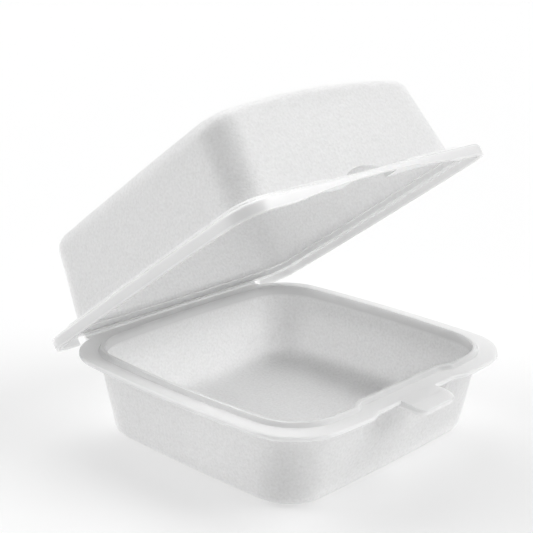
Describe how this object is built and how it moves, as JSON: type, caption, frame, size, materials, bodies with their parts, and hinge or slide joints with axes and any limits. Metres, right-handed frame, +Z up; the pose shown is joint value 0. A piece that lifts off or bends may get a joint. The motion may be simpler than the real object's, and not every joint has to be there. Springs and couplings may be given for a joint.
{
  "type": "foam clamshell container",
  "caption": "Square hinged-lid foam food box with flanged rims, drafted walls, a tab-and-slot latch at the front and a pressed hinge along the back.",
  "frame": {"origin": "centre of the tray's foot, on the table plane", "axes": "+Z up, +Y from the latch towards the hinge, +X along the hinge line"},
  "size_m": [0.1564, 0.1757, 0.1549],
  "materials": {
    "white_foam": "closed-cell foam sheet, satin skin with fine grain"
  },
  "bodies": {
    "base_tray": {"base_tray": "white_foam"},
    "lid": {"lid": "white_foam"}
  },
  "joints": [
    {"name": "lid_hinge", "type": "hinge", "parent": "base_tray", "child": "lid", "pos_m": [0, 0.0755, 0.0375], "axis": [-1, 0, 0], "range_deg": [-34.4, 120]}
  ]
}
